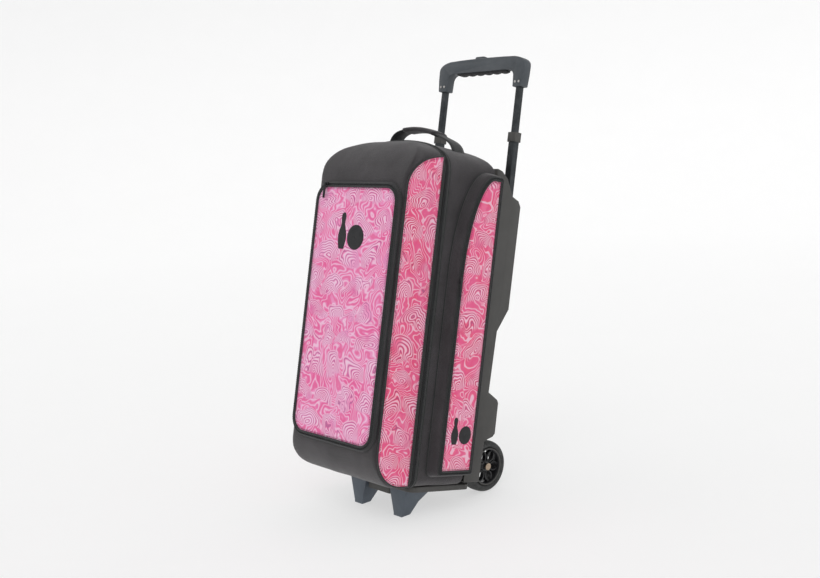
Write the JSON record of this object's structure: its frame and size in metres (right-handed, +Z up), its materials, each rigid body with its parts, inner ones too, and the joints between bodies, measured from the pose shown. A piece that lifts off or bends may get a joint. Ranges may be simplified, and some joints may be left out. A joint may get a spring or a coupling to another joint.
{
  "type": "wheeled bowling ball bag",
  "caption": "Tall wheeled bowling ball bag with a padded zipped case, moulded back shell, telescoping trolley handle, roller wheels, front feet, front and side pockets.",
  "frame": {"origin": "centre of the bounding box on the floor", "axes": "+Z up, +X to the bag's left-right width, -Y the bag's front with the lid, +Y the wheels and the trolley handle"},
  "size_m": [0.3986, 0.5782, 1.0687],
  "materials": {
    "case_fabric": "charcoal woven polyester",
    "foam": "fabric-covered foam",
    "foot_plastic": "moulded, fine texture",
    "grip_plastic": "satin",
    "hub_plastic": "gloss black",
    "patterned_fabric": "printed satin-weave polyester",
    "shell_plastic": "moulded, fine texture",
    "soft_grip": "matt rubber",
    "steel": "zinc plated",
    "tube_metal": "black anodised",
    "tyre_rubber": "solid rubber",
    "webbing": "black webbing",
    "zip_metal": "black enamel",
    "zip_tape": "black coil zip tape"
  },
  "bodies": {
    "chassis": {"case_body": "case_fabric", "main_zip": "zip_tape", "base_pad": "foam", "back_pad": "foam", "ball_shelf_1": "foam", "ball_shelf_2": "foam", "carry_strap": "webbing", "carry_wrap": "webbing", "back_shell": "shell_plastic", "axle_rod": "steel", "axle_cap_left": "steel", "axle_cap_right": "steel", "axle_bracket_left": "shell_plastic", "axle_bracket_right": "shell_plastic", "base_tray": "shell_plastic", "foot_left": "foot_plastic", "foot_right": "foot_plastic", "outer_tube_left": "tube_metal", "outer_tube_right": "tube_metal", "side_pocket_gusset_left": "case_fabric", "side_pocket_gusset_right": "case_fabric"},
    "lid": {"lid": "patterned_fabric", "lid_piping": "zip_tape", "front_pocket_gusset": "case_fabric"},
    "front_flap": {"front_pocket_panel": "patterned_fabric", "front_pocket_zip": "zip_tape"},
    "middle_stage": {"middle_tube_left": "tube_metal", "middle_tube_right": "tube_metal", "collar_left": "shell_plastic", "collar_right": "shell_plastic"},
    "upper_stage": {"upper_tube_left": "tube_metal", "upper_tube_right": "tube_metal", "grip": "grip_plastic", "finger_grip": "soft_grip", "grip_screw_left_a": "steel", "grip_screw_left_b": "steel", "grip_screw_right_a": "steel", "grip_screw_right_b": "steel"},
    "release_button": {"release_button": "grip_plastic"},
    "front_slider": {"front_slider": "zip_metal"},
    "front_pull": {"front_pull": "zip_metal"},
    "main_slider": {"main_slider": "zip_metal"},
    "main_pull": {"main_pull": "zip_metal"},
    "side_flap_left": {"side_pocket_panel_left": "patterned_fabric", "side_pocket_zip_left": "zip_tape"},
    "side_slider_left": {"side_slider_left": "zip_metal"},
    "side_pull_left": {"side_pull_left": "zip_metal"},
    "wheel_left": {"tyre_left": "tyre_rubber", "hub_left": "hub_plastic", "bearing_left": "steel"},
    "side_flap_right": {"side_pocket_panel_right": "patterned_fabric", "side_pocket_zip_right": "zip_tape"},
    "side_slider_right": {"side_slider_right": "zip_metal"},
    "side_pull_right": {"side_pull_right": "zip_metal"},
    "wheel_right": {"tyre_right": "tyre_rubber", "hub_right": "hub_plastic", "bearing_right": "steel"}
  },
  "joints": [
    {"name": "lid_hinge", "type": "hinge", "parent": "chassis", "child": "lid", "pos_m": [-0.1575, -0.10147, 0.47797], "axis": [0, -0.2096, -0.9778], "range_deg": [0, 110]},
    {"name": "front_flap_hinge", "type": "hinge", "parent": "lid", "child": "front_flap", "pos_m": [-0.147, -0.21939, 0.50325], "axis": [0, -0.2096, -0.9778], "range_deg": [0, 100]},
    {"name": "trolley_lower_slide", "type": "slide", "parent": "chassis", "child": "middle_stage", "axis": [0, 0.2096, 0.9778], "range_m": [-0.14, 0]},
    {"name": "trolley_upper_slide", "type": "slide", "parent": "middle_stage", "child": "upper_stage", "axis": [0, 0.2096, 0.9778], "range_m": [-0.105, 0]},
    {"name": "release_button_slide", "type": "slide", "parent": "upper_stage", "child": "release_button", "axis": [0, -0.2096, -0.9778], "range_m": [0, 0.004], "stiffness_N_per_m": 600, "springref_m": -0.001},
    {"name": "side_flap_hinge_left", "type": "hinge", "parent": "chassis", "child": "side_flap_left", "pos_m": [-0.1874, 0.06182, 0.42864], "axis": [0, -0.2096, -0.9778], "range_deg": [0, 60]},
    {"name": "wheel_spin_left", "type": "hinge", "parent": "chassis", "child": "wheel_left", "pos_m": [-0.096, 0.11445, 0.0635], "axis": [1, 0, 0], "continuous": true},
    {"name": "side_slider_slide_left", "type": "slide", "parent": "side_flap_left", "child": "side_slider_left", "axis": [0, -0.2096, -0.9778], "range_m": [0, 0.41]},
    {"name": "side_pull_hinge_left", "type": "hinge", "parent": "side_slider_left", "child": "side_pull_left", "pos_m": [-0.1983, -0.03553, 0.55179], "axis": [0, 0.9778, -0.2096], "range_deg": [0, 150]},
    {"name": "side_flap_hinge_right", "type": "hinge", "parent": "chassis", "child": "side_flap_right", "pos_m": [0.1874, 0.06182, 0.42864], "axis": [0, 0.2096, 0.9778], "range_deg": [0, 60]},
    {"name": "wheel_spin_right", "type": "hinge", "parent": "chassis", "child": "wheel_right", "pos_m": [0.096, 0.11445, 0.0635], "axis": [1, 0, 0], "continuous": true},
    {"name": "side_slider_slide_right", "type": "slide", "parent": "side_flap_right", "child": "side_slider_right", "axis": [0, -0.2096, -0.9778], "range_m": [0, 0.41]},
    {"name": "side_pull_hinge_right", "type": "hinge", "parent": "side_slider_right", "child": "side_pull_right", "pos_m": [0.1983, -0.03553, 0.55179], "axis": [0, -0.9778, 0.2096], "range_deg": [0, 150]},
    {"name": "front_slider_slide", "type": "slide", "parent": "front_flap", "child": "front_slider", "axis": [1, 0, 0], "range_m": [0, 0.2]},
    {"name": "front_pull_hinge", "type": "hinge", "parent": "front_slider", "child": "front_pull", "pos_m": [-0.108, -0.17026, 0.7801], "axis": [-1, 0, 0], "range_deg": [0, 150]},
    {"name": "main_slider_slide", "type": "slide", "parent": "lid", "child": "main_slider", "axis": [0, -0.2096, -0.9778], "range_m": [0, 0.55]},
    {"name": "main_pull_hinge", "type": "hinge", "parent": "main_slider", "child": "main_pull", "pos_m": [-0.161, -0.05046, 0.76362], "axis": [0, 0.9778, -0.2096], "range_deg": [0, 150]}
  ]
}
